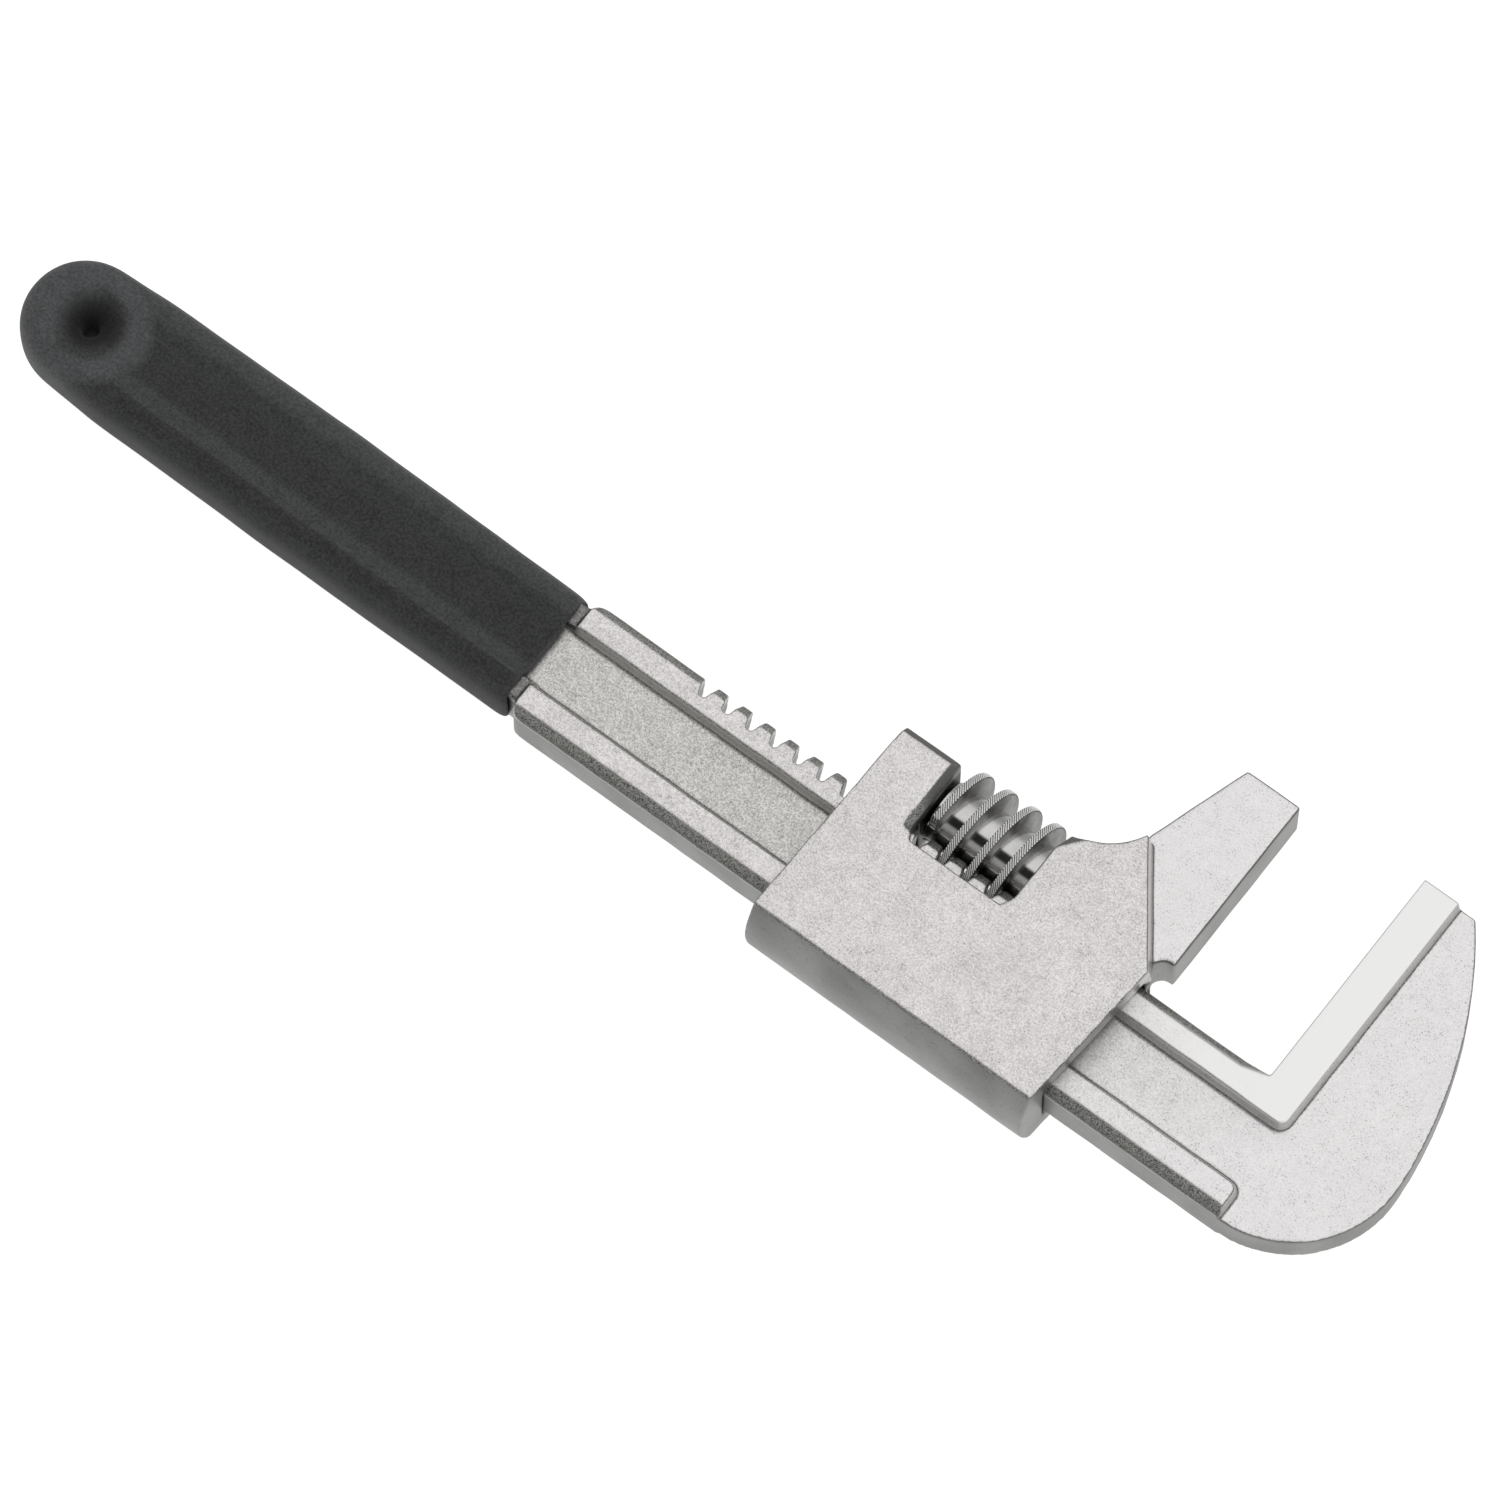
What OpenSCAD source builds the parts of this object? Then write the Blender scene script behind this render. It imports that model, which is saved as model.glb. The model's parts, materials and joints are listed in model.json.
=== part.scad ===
// Adjustable wrench of the motor type. A slider with the movable jaw and a worm runs on a
// bar that carries the fixed jaw, a rack and a dip-coated grip.
//
// X runs along the bar from the hanging hole to the jaws, Y points to the side on which the
// jaws open, and Z is square to the flat faces. The origin is the centre of the hanging
// hole, halfway through the thickness. All sizes are in millimetres.

/* [Bar] */
// Exposed bar, from the edge of the grip to the face of the fixed jaw
bar_len = 142; // [120:1:200]
// Height of the bar over both flanges
bar_h = 25.2; // [21:0.1:31]
// Thickness of the two flanges
flange_t = 11; // [9:0.1:14]
// Height of one flange at its outer face
flange_h = 6.1; // [5:0.1:7.5]
// Thickness of the web between the flanges, and of the hook behind the fixed jaw
web_t = 6.6; // [5:0.1:8]
// How far the inner wall of a flange leans out towards the web
flange_draft = 0.7; // [0:0.1:1.2]
// Chamfer along the outer edges of the flanges
bar_chamfer = 1.8; // [0.5:0.1:2.2]
// Corner radius where the flanges start, next to the grip
flange_end_r = 2; // [0.5:0.1:3]
// Corner radius where the upper flange turns into the rib and where the lower one ends
flange_turn_r = 1.5; // [0.5:0.1:2.5]

/* [Fixed jaw] */
// Height of the fixed jaw above the bar
jaw_rise = 43.7; // [36:0.1:53]
// Width of the raised rib behind the gripping face
rib_w = 7; // [5.5:0.1:8.5]
// How far the lower flange runs past the gripping face
lower_flange_reach = 7.2; // [4:0.1:8]
// Radius of the heel under the fixed jaw
heel_r = 21.2; // [18:0.1:25.5]
// Distance from the gripping face to the centre of the heel
heel_x = 7.3; // [6:0.1:9]
// Radius of the back of the hook
back_r = 86; // [70:1:104]
// Slope of the line on which the heel and the back meet, in degrees
back_slope = 4.5; // [0:0.1:6]

/* [Slider] */
// Gap between the gripping faces
jaw_opening = 24.3; // [0.1:0.1:60]
// Thickness of the slider's walls beside the bar
wall_t = 4.3; // [3.5:0.1:5.5]
// Thickness of the slider under the bar, at the front and back faces
floor_t = 3.6; // [3:0.1:5]
// How much further the slider's rounded underside drops at the middle
floor_crown = 2.6; // [1:0.1:3.2]
// Length of the solid body between the worm window and the gripping face
body_w = 27.7; // [23:0.1:34]
// Length of the post that closes the worm window
post_w = 11.6; // [9:0.1:14]
// Height of the post above the worm's axis
post_rise = 5.9; // [5:0.1:7]
// Chamfer along the top of the post and beside the worm
post_chamfer = 1.5; // [0.5:0.1:2]
// Corner radius at the foot of the worm window
window_r = 3; // [1:0.1:4]
// Height of the shoulder above the worm's axis
shoulder_rise = 6.9; // [6:0.1:8.2]
// Depth of the bevel at the tip of the shoulder
shoulder_bevel = 1.5; // [0.5:0.1:2]
// Radius of the hollow between the shoulder and the movable jaw
scoop_r = 12.8; // [9:0.1:16]
// Clearance between the bar and the slider, on each side
slide_gap = 0.2; // [0.1:0.05:0.3]

/* [Movable jaw] */
// Thickness of the movable jaw
jaw_t = 10; // [8:0.1:12]
// Width of the movable jaw at its tip
jaw_tip_w = 11; // [9:0.1:13.2]
// How much shorter the movable jaw is than the fixed one
jaw_tip_drop = 2.1; // [0:0.1:3]
// Radius of the relief notch under the gripping face
notch_r = 2.4; // [1.5:0.1:3]

/* [Worm and rack] */
// Pitch of the rack and of the worm's thread
pitch = 5; // [4:0.1:6]
// Depth of the rack's teeth
tooth_depth = 3.4; // [2.8:0.1:4.1]
// Radius of the worm over its thread
worm_r = 9.5; // [7.9:0.1:11.4]
// Length of the window that holds the worm
window_w = 21.4; // [17.8:0.1:25.7]
// Radial clearance of the thread above the root of the rack
root_gap = 0.2; // [0.1:0.05:0.4]
// Clearance at each end of the worm
end_gap = 0.3; // [0.1:0.05:0.5]

/* [Worm pin and spring] */
// Radius of the pin
pin_r = 2.5; // [2:0.1:3]
// Depth of the blind hole that holds the tip of the pin
pin_socket = 8; // [6:0.1:10]
// Running clearance around the pin
pin_gap = 0.05; // [0.02:0.01:0.1]
// Depth of the spring's pocket in the worm
spring_pocket = 6; // [4:0.1:8]
// Thickness of the spring's wire
wire_d = 0.7; // [0.5:0.05:0.8]

/* [Grip] */
// Length of the grip, from the hanging hole to its front edge
grip_len = 98.5; // [80:0.5:120]
// Radius of the grip's round end
grip_end_r = 11.3; // [10:0.1:12]
// Half the height of the grip at its middle
grip_h = 12.2; // [11:0.1:14.6]
// Half the thickness of the grip
grip_half_t = 7; // [6.5:0.1:8.5]
// Thickness of the coating over the steel
coat_t = 1.5; // [1:0.1:2]
// Radius of the hanging hole
hole_r = 2; // [1.6:0.1:3]
// Radius of the hollow around the hanging hole
hole_mouth_r = 6; // [5:0.1:7]
// Depth of that hollow, on each face
hole_mouth_depth = 1.8; // [1:0.1:2.4]
// Radius of the raised ring around the hollow
ring_r = 9.3; // [8:0.1:10]

/* [Hidden] */
$fn = 96;
eps = 0.01;
far = 400; // longer than the whole wrench, for cuts that run right through

// Bar
bar_top = bar_h / 2;
flange_z = flange_t / 2;
web_z = web_t / 2;
jaw_x = grip_len + bar_len;
neck_len = 1.1; // bare steel between the grip and the flanges
flange_start = grip_len + neck_len;
tip_y = bar_top + jaw_rise;
chamfer_fade = 5; // the upper flange's chamfer fades over this length at the fixed jaw
chamfer_left = 0.3; // what is left of it there
heel_c = [jaw_x + heel_x, heel_r - bar_top];
back_c = heel_c - (back_r - heel_r) * [cos(back_slope), sin(back_slope)];

// Slider, with X counted from the movable jaw's gripping face
housing_z = flange_z + slide_gap + wall_t;
floor_drop = 0.9; // how far the worm window opens below the root of the rack
window_right = -body_w;
window_left = window_right - window_w;
post_left = window_left - post_w;
end_lean_left = 1.6;
end_lean_right = 4.2;
belly_y = -(bar_top + slide_gap + floor_t + floor_crown);
root_y = bar_top - tooth_depth;
worm_y = root_y + root_gap + worm_r;
window_floor = root_y - floor_drop;
post_y = worm_y + post_rise;
shoulder = [window_right + 0.8, worm_y + shoulder_rise];
shoulder_foot_drop = 3.6;
bevel_drop = 4.2; // where the shoulder's bevel leaves the side of the window
bevel_end = [3.5, 1.2]; // where it leaves the hollow, counted from the shoulder
step_low = [-1.95, bar_top + slide_gap + 0.6];
step_top = step_low + [0.07 - 0.53 * body_w, 0.457 * jaw_rise];
step_draft_w = 0.8;
jaw_back_foot = step_top + [-0.6, 1.6];
jaw_tip_y = tip_y - jaw_tip_drop;
notch_c = [-0.6, step_low[1] + 2.8];
slider_x = jaw_x - jaw_opening;

// Travel: the slider stops short of the grip, and the rack covers all of the worm's places
stop_gap = 15.9;
foot_reach = 1.1; // how far the slider's foot reaches past the post
slider_len = foot_reach - post_left;
rack_lead = 3.7; // how far the rack runs past the window at the widest opening
opening_max = bar_len - slider_len - stop_gap;
rack_start = jaw_x - opening_max + window_left - rack_lead;
rack_end = jaw_x + window_right;
rack_gaps = floor((rack_end - rack_start) / pitch) + 1;
gap_top_w = 0.53 * pitch;
gap_root_w = 0.29 * pitch;
lead_angle = atan(pitch / (2 * PI * worm_r));

// Worm
hub_r = worm_r - tooth_depth - 0.2;
worm_len = window_w - 2 * end_gap;
worm_mid = (window_left + window_right) / 2;
worm_x = slider_x + worm_mid;
ridge_crest_w = 0.18 * pitch;
ridge_base_w = 0.4 * pitch;
hub_end = 0.4;
ridge_len = worm_len - 2 * hub_end - ridge_base_w;
ridge_sink = 0.5;
ridge_steps = 36;
ridge_ramp = 0.09;

// Pin and spring
head_r = 1.6 * pin_r;
head_h = 2.4;
head_seat = post_left + head_h + 0.2;
pin_tip = window_right + pin_socket - 0.4;
slot_w = 1;
slot_depth = 1.2;
spring_r = pin_r + 0.2 + wire_d;
pocket_r = spring_r + wire_d / 2 + 0.3;
spring_len = end_gap + spring_pocket - 0.2;
spring_turns = 5;
spring_steps = 20;
spring_sides = 8;

// Grip, and the steel tang inside it. The round end is not quite centred on the hole.
// A station is [place along the grip, half height, height of the middle].
grip_end_c = [-2, 0.9];
end_taper = 0.06; // how fast the handle widens beside its round end
stations = [
    [0.1 * grip_len, grip_h - 0.3, 0.8],
    [0.5 * grip_len, grip_h, 0.6],
    [grip_len, grip_h - 0.3, 0.2]
];
tang_z = grip_half_t - coat_t - 0.6;
tang_web_z = tang_z - 1.6;
tang_hole_r = hole_mouth_r - 1;
// The rounded side of the grip, as [how far inside the outline, half thickness there].
side_levels = [[0, grip_half_t - 4], [0.9, grip_half_t - 1.4], [3.2, grip_half_t]];
panel_rim = 4.5;
panel_depth = 1.1;

function circle_centre(p, q, r) =
    let (d = q - p, h = sqrt(max(0, r * r - d * d / 4)))
    (p + q) / 2 + h * [-d[1], d[0]] / norm(d);

// Joins rings of equally many points into one closed solid. Each ring runs anticlockwise
// when seen along the sweep.
module swept(rings) {
    sides = len(rings[0]);
    last = len(rings) - 1;
    polyhedron(
        points = [for (ring = rings) each ring],
        faces = concat(
            [[for (j = [sides - 1 : -1 : 0]) j]],
            [for (i = [0 : last - 1], j = [0 : sides - 1])
                let (k = (j + 1) % sides, a = i * sides, b = a + sides)
                each [[a + j, a + k, b + k], [a + j, b + k, b + j]]],
            [[for (j = [0 : sides - 1]) last * sides + j]]
        ),
        convexity = 10
    );
}

module slab(t) {
    linear_extrude(height = t, center = true) children();
}

// Extrudes a shape drawn as (Y, Z) along X.
module along_x(from, to) {
    translate([from, 0, 0]) rotate([90, 0, 90]) linear_extrude(height = to - from) children();
}

module x_cylinder(from, to, r) {
    translate([from, worm_y, 0]) rotate([0, 90, 0]) cylinder(h = to - from, r = r);
}

// ---- Bar with the fixed jaw ----

// Section of one flange, with its outer edge at `top`.
module flange_section(top, h, chamfer) {
    right = [
        [top - h - flange_draft, web_z],
        [top - h, flange_z],
        [top - chamfer, flange_z],
        [top, flange_z - chamfer]
    ];
    left = [for (i = [len(right) - 1 : -1 : 0]) [right[i][0], -right[i][1]]];
    polygon(concat(right, left));
}

module flange_run(to) {
    corner = flange_start + flange_end_r;
    along_x(corner, to) flange_section(bar_top, flange_h, bar_chamfer);
    intersection() {
        along_x(flange_start, corner + eps) flange_section(bar_top, flange_h, bar_chamfer);
        slab(flange_t) union() {
            translate([corner, bar_top - flange_end_r]) circle(r = flange_end_r);
            translate([flange_start, 0]) square([flange_end_r + 1, bar_top - flange_end_r]);
        }
    }
}

// Cuts a chamfer along a corner that is drawn as (Y, Z).
module corner_cut(y, z, chamfer) {
    polygon([[y + 1, z - chamfer - 1], [y + 1, z + 1], [y - chamfer - 1, z + 1]]);
}

// A quarter turn of a flange's sloping wall, from facing -Y to facing +X.
module turned_corner(centre) {
    translate(centre) rotate(-90) rotate_extrude(angle = 90) polygon([
        [0, -flange_z],
        [flange_turn_r, -flange_z],
        [flange_turn_r + flange_draft, -web_z],
        [flange_turn_r + flange_draft, web_z],
        [flange_turn_r, flange_z],
        [0, flange_z]
    ]);
}

// A flange that runs along Y, with its sloping wall towards +X.
module upright_flange(left, right, from, to) {
    translate([0, from, 0]) rotate([-90, 0, 0]) linear_extrude(height = to - from) polygon([
        [left, -flange_z],
        [left, flange_z],
        [right, flange_z],
        [right + flange_draft, web_z],
        [right + flange_draft, -web_z],
        [right, -flange_z]
    ]);
}

// Fills the upper flange's chamfer so that it fades out towards the gripping face.
module chamfer_runout() {
    start = jaw_x - chamfer_fade;
    tilt = atan((bar_chamfer - chamfer_left) / sqrt(2) / chamfer_fade);
    difference() {
        along_x(start - 1, jaw_x + 1) translate([bar_top - flange_h + 1, -flange_z])
            square([flange_h - 1, flange_t]);
        for (side = [0, 1])
            mirror([0, 0, side]) translate([start, bar_top, flange_z]) rotate([45, 0, 0])
                translate([0, -bar_chamfer / sqrt(2), -5]) rotate(tilt)
                    translate([-2, 0, 0]) cube([chamfer_fade + 4, 10, 10]);
    }
}

// The upper flange turns the corner and climbs behind the gripping face as a rib.
module top_flange_and_rib() {
    corner = [jaw_x + rib_w - flange_turn_r, bar_top - flange_h + flange_turn_r];
    flange_run(corner[0]);
    turned_corner(corner);
    upright_flange(jaw_x, jaw_x + rib_w, corner[1], tip_y);
    chamfer_runout();
}

// The lower flange ends in front of the hook with a round corner and a sloping end.
module lower_flange() {
    corner = [jaw_x + lower_flange_reach - flange_turn_r, bar_top - flange_h + flange_turn_r];
    mirror([0, 1, 0]) {
        flange_run(corner[0]);
        turned_corner(corner);
        difference() {
            upright_flange(corner[0] - 1, jaw_x + lower_flange_reach, corner[1], bar_top);
            for (side = [0, 1])
                mirror([0, 0, side]) along_x(corner[0] - 2, far)
                    corner_cut(bar_top, flange_z, bar_chamfer);
        }
    }
}

module hook_outline() {
    difference() {
        union() {
            translate(heel_c) circle(r = heel_r);
            intersection() {
                translate(back_c) circle(r = back_r, $fn = 240);
                translate(heel_c) rotate(back_slope) translate([-heel_r, 0]) square([2 * heel_r, far]);
            }
        }
        translate([jaw_x - far, -far / 2]) square([far, far]);
        translate([jaw_x - 1, tip_y]) square([far, far]);
    }
}

// Gaps lie along the worm's lead, so that a straight cut matches the slanting thread.
module rack_cut() {
    for (i = [0 : rack_gaps - 1])
        translate([rack_start + i * pitch, 0, 0]) rotate([0, lead_angle, 0])
            slab(flange_t + 4) polygon([
                [-gap_root_w / 2, root_y],
                [gap_root_w / 2, root_y],
                [gap_top_w / 2, bar_top],
                [gap_top_w / 2, bar_top + 1],
                [-gap_top_w / 2, bar_top + 1],
                [-gap_top_w / 2, bar_top]
            ]);
}

// Outline of the handle from `start` to `end`, drawn `inset` inside the grip's own.
module handle_outline(start, end, inset) {
    middle = [for (s = stations) if (s[0] > start && s[0] < grip_len) s];
    first = [start, min(grip_h, grip_end_r + end_taper * (start - grip_end_c[0])), grip_end_c[1]];
    last = [end, stations[2][1], stations[2][2]];
    run = concat([first], middle, [last]);
    polygon(concat(
        [for (s = run) [s[0], s[2] + s[1] - inset]],
        [for (i = [len(run) - 1 : -1 : 0]) [run[i][0], run[i][2] - run[i][1] + inset]]
    ));
}

// The sunk panel between the ring and `end`.
module panel_outline(end) {
    difference() {
        handle_outline(0, end, coat_t + panel_rim);
        circle(r = ring_r);
    }
}

module tang() {
    difference() {
        slab(2 * tang_z) union() {
            translate(grip_end_c) circle(r = grip_end_r - coat_t);
            handle_outline(grip_end_c[0], flange_start + 1, coat_t);
        }
        for (side = [-1, 1])
            translate([0, 0, side * (tang_web_z + tang_z)]) slab(2 * tang_z)
                panel_outline(flange_start + 2);
        cylinder(h = far, r = tang_hole_r, center = true);
    }
}

module fixed_jaw_bar() {
    color("lightgray") difference() {
        union() {
            tang();
            along_x(flange_start, jaw_x + lower_flange_reach)
                square([2 * (bar_top - flange_h), web_t], center = true);
            top_flange_and_rib();
            lower_flange();
            slab(web_t) hook_outline();
        }
        rack_cut();
    }
}

// ---- Slider with the movable jaw ----

module window_outline() {
    height = post_y + 20 - window_floor;
    translate([window_left, window_floor + window_r]) square([window_w, height]);
    translate([window_left + window_r, window_floor]) square([window_w - 2 * window_r, height]);
    for (x = [window_left + window_r, window_right - window_r])
        translate([x, window_floor + window_r]) circle(r = window_r);
}

module housing_outline() {
    left_foot = post_left - (post_y - belly_y) * tan(end_lean_left);
    right_foot = step_low[0] - (step_low[1] - belly_y) * tan(end_lean_right);
    difference() {
        polygon([
            [left_foot, belly_y],
            [post_left, post_y],
            [window_left + 1, post_y],
            [window_left + 1, window_floor],
            [window_right - 1, window_floor],
            [window_right, shoulder[1] - shoulder_foot_drop],
            shoulder,
            step_top,
            step_low,
            [right_foot, belly_y]
        ]);
        window_outline();
        translate(circle_centre(shoulder, step_top, scoop_r)) circle(r = scoop_r);
    }
}

module housing() {
    crown_r = (housing_z * housing_z + floor_crown * floor_crown) / (2 * floor_crown);
    intersection() {
        slab(2 * housing_z) housing_outline();
        union() {
            translate([-far, -bar_top, -far / 2]) cube([2 * far, far, far]);
            translate([-far, belly_y + crown_r, 0]) rotate([0, 90, 0])
                cylinder(h = 2 * far, r = crown_r, $fn = 240);
        }
    }
}

// Sloping wall between the thick housing and the thin jaw, on both faces.
module step_draft() {
    along = step_low - step_top;
    turn = atan2(along[1], along[0]);
    for (side = [0, 1])
        mirror([0, 0, side]) translate(step_top) rotate(turn) along_x(0.2, norm(along)) polygon([
            [-0.3, jaw_t / 2 - 1],
            [step_draft_w, jaw_t / 2 - 1],
            [step_draft_w, jaw_t / 2],
            [0, housing_z],
            [-0.3, housing_z]
        ]);
}

module jaw_outline() {
    difference() {
        polygon([
            [-jaw_tip_w, jaw_tip_y],
            [0, jaw_tip_y],
            [0, notch_c[1]],
            [step_low[0] + 0.2, bar_top + slide_gap],
            [step_low[0] - 8, bar_top + slide_gap],
            step_top + [1, -6],
            step_top + [-1, -2],
            jaw_back_foot
        ]);
        translate(notch_c) circle(r = notch_r);
        translate([notch_c[0] - notch_r, step_low[1]])
            square([2 * notch_r, notch_c[1] - step_low[1]]);
    }
}

module post_chamfers() {
    for (side = [0, 1]) mirror([0, 0, side]) {
        along_x(post_left - 3, window_left + 1) corner_cut(post_y, housing_z, post_chamfer);
        translate([0, window_floor + post_chamfer, 0]) rotate([-90, 0, 0])
            linear_extrude(height = far) polygon([
                [window_left + 1, -housing_z + post_chamfer + 1],
                [window_left + 1, -housing_z - 1],
                [window_left - post_chamfer - 1, -housing_z - 1]
            ]);
    }
}

// Bevels both faces of the shoulder, from one edge of the body to the other.
module shoulder_bevels() {
    from = [window_right, shoulder[1] - bevel_drop];
    to = shoulder + bevel_end;
    along = to - from;
    tip = shoulder - from;
    reach = abs(tip[0] * along[1] - tip[1] * along[0]) / norm(along);
    for (side = [0, 1])
        mirror([0, 0, side]) translate([from[0], from[1], housing_z])
            rotate(atan2(along[1], along[0])) rotate([-atan(shoulder_bevel / reach), 0, 0])
                translate([-2, 0, 0]) cube([norm(along) + 4, 10, 5]);
}

module sliding_jaw() {
    color("gainsboro") translate([slider_x, 0, 0]) difference() {
        union() {
            housing();
            slab(jaw_t) jaw_outline();
            step_draft();
        }
        along_x(-far, far) square([bar_h + 2 * slide_gap, flange_t + 2 * slide_gap], center = true);
        post_chamfers();
        shoulder_bevels();
        x_cylinder(post_left - 3, window_right + pin_socket, pin_r);
        x_cylinder(post_left - 3, head_seat, head_r + 0.1);
    }
}

// ---- Worm, its pin and its spring ----

// One ring of the thread at `x` from the middle of the worm. `rise` runs from 0 where the
// thread fades into the hub to 1 on its full height. The thread is left-handed, and its
// angle ties it to the gaps of the rack at any opening.
function ridge_ring(x, rise) =
    let (turn = 360 * (worm_x + x - rack_start) / pitch,
        sunk = hub_r - ridge_sink,
        crest = sunk + 0.1 + (worm_r - sunk - 0.1) * rise)
    [for (corner = [[ridge_base_w / 2, sunk], [ridge_crest_w / 2, crest],
            [-ridge_crest_w / 2, crest], [-ridge_base_w / 2, sunk]])
        [x + corner[0], -corner[1] * cos(turn), corner[1] * sin(turn)]];

module thread() {
    steps = ceil(ridge_steps * ridge_len / pitch);
    swept([for (i = [0 : steps])
        let (t = i / steps, edge = min(t, 1 - t) / ridge_ramp)
        ridge_ring((t - 0.5) * ridge_len, min(1, edge))]);
}

module adjusting_worm() {
    left = worm_x - worm_len / 2;
    right = worm_x + worm_len / 2;
    color("silver") difference() {
        union() {
            x_cylinder(left, right, hub_r);
            translate([worm_x, worm_y, 0]) thread();
        }
        x_cylinder(left - 1, right + 1, pin_r + pin_gap);
        x_cylinder(left - 1, left + spring_pocket, pocket_r);
    }
}

module worm_pin() {
    color("dimgray") translate([slider_x, 0, 0]) difference() {
        union() {
            x_cylinder(head_seat, pin_tip, pin_r);
            x_cylinder(head_seat - head_h, head_seat, head_r);
        }
        translate([head_seat - head_h - 1, worm_y - slot_w / 2, -head_r - 1])
            cube([slot_depth + 1, slot_w, 2 * head_r + 2]);
    }
}

module worm_spring() {
    start = slider_x + window_left;
    run = spring_len - wire_d;
    steps = spring_turns * spring_steps;
    color("slategray") translate([start + wire_d / 2, worm_y, 0]) swept([for (i = [0 : steps])
        let (turn = 360 * i / spring_steps)
        [for (j = [0 : spring_sides - 1])
            let (a = 360 * j / spring_sides, r = spring_r + wire_d / 2 * cos(a))
            [run * i / steps + wire_d / 2 * sin(a), r * cos(turn), r * sin(turn)]]]);
}

// ---- Grip ----

module grip_shell() {
    hull() for (level = side_levels) {
        translate(grip_end_c)
            cylinder(h = 2 * level[1], r = grip_end_r - level[0], center = true, $fn = 64);
        for (s = stations)
            translate([s[0] - 1 - level[0] / 3, s[2], 0])
                cube([2, 2 * (s[1] - level[0]), 2 * level[1]], center = true);
    }
}

module grip() {
    color("dimgray") difference() {
        grip_shell();
        tang();
        for (side = [-1, 1])
            translate([0, 0, side * (2 * grip_half_t - panel_depth)]) slab(2 * grip_half_t)
                panel_outline(grip_len + 1);
        cylinder(h = far, r = hole_r, center = true);
        for (side = [0, 1])
            mirror([0, 0, side]) translate([0, 0, grip_half_t - hole_mouth_depth])
                cylinder(h = hole_mouth_depth + eps, r1 = hole_r, r2 = hole_mouth_r);
    }
}

fixed_jaw_bar();
sliding_jaw();
adjusting_worm();
worm_pin();
worm_spring();
grip();
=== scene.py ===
"""Looks of the adjustable wrench: finished meshes, materials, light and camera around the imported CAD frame.

Everything is in metres in the frame's own axes: X along the bar to the jaws, Y to the side on which the
jaws open, Z square to the flat faces.
"""

import json
import math

import bpy
import numpy as np
from mathutils import Matrix, Vector, noise


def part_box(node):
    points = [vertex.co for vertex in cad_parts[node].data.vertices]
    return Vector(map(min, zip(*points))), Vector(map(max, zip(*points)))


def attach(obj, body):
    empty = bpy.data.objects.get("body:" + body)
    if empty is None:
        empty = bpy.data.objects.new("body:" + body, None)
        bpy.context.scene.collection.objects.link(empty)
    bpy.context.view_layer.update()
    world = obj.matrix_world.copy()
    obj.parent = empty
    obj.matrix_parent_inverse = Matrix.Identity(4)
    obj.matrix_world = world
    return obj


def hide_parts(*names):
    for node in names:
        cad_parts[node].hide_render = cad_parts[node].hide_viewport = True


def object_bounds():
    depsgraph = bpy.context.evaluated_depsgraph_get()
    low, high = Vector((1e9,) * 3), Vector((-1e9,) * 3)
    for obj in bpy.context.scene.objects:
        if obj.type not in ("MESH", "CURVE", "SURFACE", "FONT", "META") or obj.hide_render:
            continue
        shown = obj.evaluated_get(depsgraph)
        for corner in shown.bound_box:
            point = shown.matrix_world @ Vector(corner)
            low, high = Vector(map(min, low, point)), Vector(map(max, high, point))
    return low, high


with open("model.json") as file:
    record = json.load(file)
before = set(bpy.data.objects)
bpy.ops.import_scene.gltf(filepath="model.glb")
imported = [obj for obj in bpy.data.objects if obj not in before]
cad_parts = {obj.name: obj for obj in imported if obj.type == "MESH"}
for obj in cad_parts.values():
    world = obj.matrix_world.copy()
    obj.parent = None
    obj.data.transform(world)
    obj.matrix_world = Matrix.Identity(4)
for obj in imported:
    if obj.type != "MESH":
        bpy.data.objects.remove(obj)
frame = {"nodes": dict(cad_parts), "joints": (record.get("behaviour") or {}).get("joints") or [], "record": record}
cad_low, cad_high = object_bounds()

MM = 0.001
joints = {j["name"]: j for j in frame["joints"]}
mounts = {m["name"]: Vector(m["pos_m"]) for m in frame["record"]["mounts"]}
WORM_AXIS = Vector(joints["worm_spin"]["pos_m"])
JAW_X = mounts["fixed_jaw_face"].x
FLANGE_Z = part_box("fixed_jaw_bar")[1].z
NECK_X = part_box("grip")[1].x

# The worm. Its thread's height and bore are the CAD model's.
PITCH = 2 * math.pi / abs(frame["record"]["behaviour"]["couplings"][0]["ratio"])
CREST_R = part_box("adjusting_worm")[1].z
HUB_R = CREST_R - 3.6 * MM
WORM_BORE_R = 2.55 * MM
CREST_W, BASE_W = 1.35 * MM, 2.0 * MM
CREST_BEVEL = 0.16 * MM
CREST_POINTS = 11
THREAD_FADE = 0.1
THREAD_SUNK = 0.4 * MM
THREAD_START = 0.1 * MM
FOOT_INSET, FOOT_RISE = 0.12 * MM, 0.25 * MM
NECK_OUTSET, NECK_DROP = 0.06 * MM, 0.5 * MM
SERRATIONS = 96
SERRATION_DEPTH = 0.22 * MM
SERRATION_SLANT = math.radians(54)
STEPS_PER_SERRATION = 6
HUB_EDGE = 0.35 * MM
HUB_SEGMENTS = 160

# The pin, with a slot across its head, and the spring, which has a closed coil at each end.
PIN_R = 2.5 * MM
PIN_HEAD = 2.4 * MM
PIN_EDGE, HEAD_EDGE = 0.45 * MM, 0.2 * MM
PIN_SEGMENTS = 96
SLOT_HALF, SLOT_DEPTH = 0.5 * MM, 1.2 * MM
WIRE_R = 0.35 * MM
COILS, STEPS_PER_COIL, WIRE_SIDES = 6, 40, 12


# ---- Camera ----

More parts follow.
